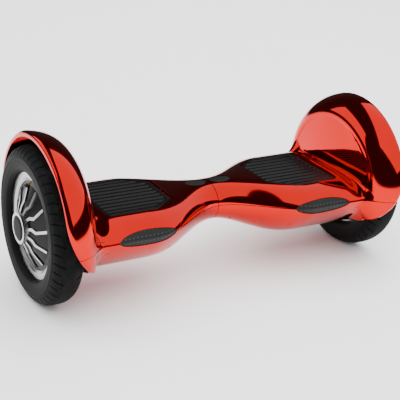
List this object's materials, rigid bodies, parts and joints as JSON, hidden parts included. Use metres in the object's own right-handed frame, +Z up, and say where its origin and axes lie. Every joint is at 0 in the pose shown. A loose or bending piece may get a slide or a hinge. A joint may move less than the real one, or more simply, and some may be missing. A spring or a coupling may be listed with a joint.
{
  "type": "self balancing hoverboard",
  "caption": "Two-wheeled self balancing board: twin twisting half bodies with ribbed foot pads, fendered hub motor wheels and lamps.",
  "frame": {"origin": "on the ground, below the middle of the neck, at the bottom centre of the bounding box", "axes": "+X along the board to the right wheel, -Y towards the front (lamps), +Z up"},
  "size_m": [0.6762, 0.2898, 0.273],
  "materials": {
    "shell": "mirror-like red plating on moulded plastic",
    "pad": "matte black moulded rubber",
    "lens": "smoked, glossy",
    "lamp_board": "white circuit board",
    "circuit": "green solder mask",
    "steel": "turned steel",
    "dark_steel": "black oxide",
    "alloy": "as cast",
    "copper": "enamelled copper wire",
    "cover": "gloss black paint",
    "rim": "machined",
    "trim": "silver plated",
    "cap": "satin dark grey",
    "tube_rubber": "butyl",
    "tyre": "satin black rubber",
    "brass": "plain",
    "black_plastic": "moulded",
    "battery": "shrink wrap",
    "strap": "painted band"
  },
  "bodies": {
    "left_half": {"left_upper_shell": "shell", "left_lower_shell": "shell", "left_lamp_lens": "lens", "left_lamp_board": "lamp_board", "left_window": "lens", "left_shell_screws": "steel", "left_chassis": "alloy", "left_axle_clamp": "alloy", "left_clamp_bolts": "dark_steel", "left_axle": "steel", "left_stator": "steel", "left_windings": "copper", "left_sensor_board": "circuit", "pivot_tube": "steel", "pivot_ring": "dark_steel", "battery": "battery", "battery_strap": "strap"},
    "right_half": {"right_upper_shell": "shell", "right_lower_shell": "shell", "right_lamp_lens": "lens", "right_lamp_board": "lamp_board", "right_window": "lens", "right_shell_screws": "steel", "right_chassis": "alloy", "right_axle_clamp": "alloy", "right_clamp_bolts": "dark_steel", "right_axle": "steel", "right_stator": "steel", "right_windings": "copper", "right_sensor_board": "circuit", "pivot_bushes": "brass", "main_board": "circuit", "power_switch": "black_plastic", "charge_socket": "steel"},
    "left_wheel": {"left_bearings": "steel", "left_magnet_ring": "steel", "left_inner_cover": "cover", "left_rim": "rim", "left_outer_cover": "cover", "left_spoke_trim": "trim", "left_hub_cap": "cap", "left_inner_tube": "tube_rubber", "left_tyre": "tyre", "left_valve_stem": "brass", "left_valve_cap": "black_plastic"},
    "right_wheel": {"right_bearings": "steel", "right_magnet_ring": "steel", "right_inner_cover": "cover", "right_rim": "rim", "right_outer_cover": "cover", "right_spoke_trim": "trim", "right_hub_cap": "cap", "right_inner_tube": "tube_rubber", "right_tyre": "tyre", "right_valve_stem": "brass", "right_valve_cap": "black_plastic"},
    "left_pad": {"left_foot_pad": "pad"},
    "right_pad": {"right_foot_pad": "pad"},
    "power_button": {"power_button": "black_plastic"},
    "charge_flap": {"charge_flap": "pad"}
  },
  "joints": [
    {"name": "twist", "type": "hinge", "parent": "left_half", "child": "right_half", "pos_m": [0, 0, 0.1245], "axis": [1, 0, 0], "range_deg": [-12, 12]},
    {"name": "left_wheel_spin", "type": "hinge", "parent": "left_half", "child": "left_wheel", "pos_m": [-0.2985, 0, 0.127], "axis": [1, 0, 0], "continuous": true},
    {"name": "right_wheel_spin", "type": "hinge", "parent": "right_half", "child": "right_wheel", "pos_m": [0.2985, 0, 0.127], "axis": [1, 0, 0], "continuous": true},
    {"name": "left_pad_press", "type": "slide", "parent": "left_half", "child": "left_pad", "axis": [0, 0, 1], "range_m": [-0.001, 0], "stiffness_N_per_m": 8000, "springref_m": 0.0005},
    {"name": "right_pad_press", "type": "slide", "parent": "right_half", "child": "right_pad", "axis": [0, 0, 1], "range_m": [-0.001, 0], "stiffness_N_per_m": 8000, "springref_m": 0.0005},
    {"name": "power_button_press", "type": "slide", "parent": "right_half", "child": "power_button", "axis": [0, 0, 1], "range_m": [0, 0.0012], "stiffness_N_per_m": 600, "springref_m": -0.0005},
    {"name": "charge_flap_swing", "type": "hinge", "parent": "right_half", "child": "charge_flap", "pos_m": [0.1745, 0.008, 0.06], "axis": [0, 0, 1], "range_deg": [0, 90]}
  ]
}
